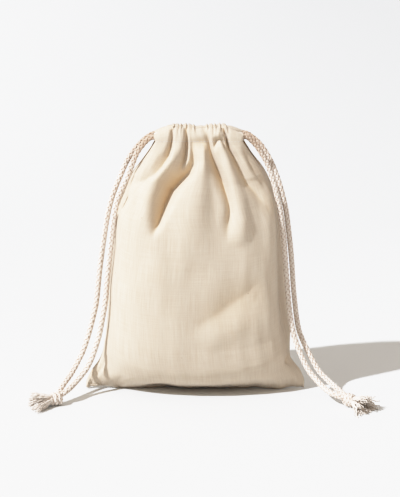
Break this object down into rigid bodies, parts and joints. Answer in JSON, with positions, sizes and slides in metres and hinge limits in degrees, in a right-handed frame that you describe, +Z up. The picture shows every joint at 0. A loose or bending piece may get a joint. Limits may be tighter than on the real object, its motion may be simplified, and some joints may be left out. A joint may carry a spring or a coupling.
{
  "type": "kinchaku drawstring pouch",
  "caption": "Small cotton pouch standing full, its ruffled mouth drawn shut by braided cords that hang down both sides and end in frayed knots.",
  "frame": {"origin": "on the floor under the middle of the pouch", "axes": "+Z up, +X to the right across the pouch seen from its front, +Y from the front to the back"},
  "size_m": [0.2664, 0.1055, 0.2127],
  "materials": {
    "unbleached_cotton": "matt plain weave with slubs and seed flecks",
    "braided_cord": "matt soft cotton braid"
  },
  "bodies": {
    "root": {"pouch_cloth": "unbleached_cotton", "left_drawcord": "braided_cord", "right_drawcord": "braided_cord", "left_knot": "braided_cord", "right_knot": "braided_cord"}
  },
  "joints": []
}
